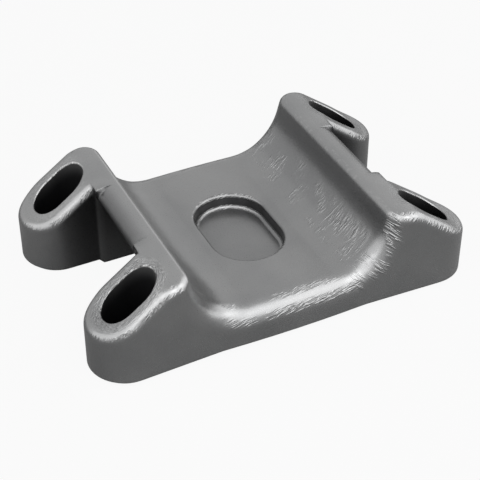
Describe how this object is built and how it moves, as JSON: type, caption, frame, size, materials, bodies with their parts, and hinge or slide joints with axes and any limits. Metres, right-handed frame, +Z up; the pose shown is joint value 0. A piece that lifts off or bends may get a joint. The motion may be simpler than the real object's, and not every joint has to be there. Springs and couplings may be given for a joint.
{
  "type": "axle torque plate",
  "caption": "Cast saddle plate with a trough for an axle housing, slotted ears for clamp bolts and a channel below for a leaf spring.",
  "frame": {"origin": "centre of the plate's foot plane, under the middle of the trough", "axes": "+X across the axle from ear to ear, +Y along the axle trough, +Z up out of the trough"},
  "size_m": [0.288, 0.1866, 0.0711],
  "materials": {
    "cast_body": "satin"
  },
  "bodies": {
    "root": {"torque_plate": "cast_body"}
  },
  "joints": []
}
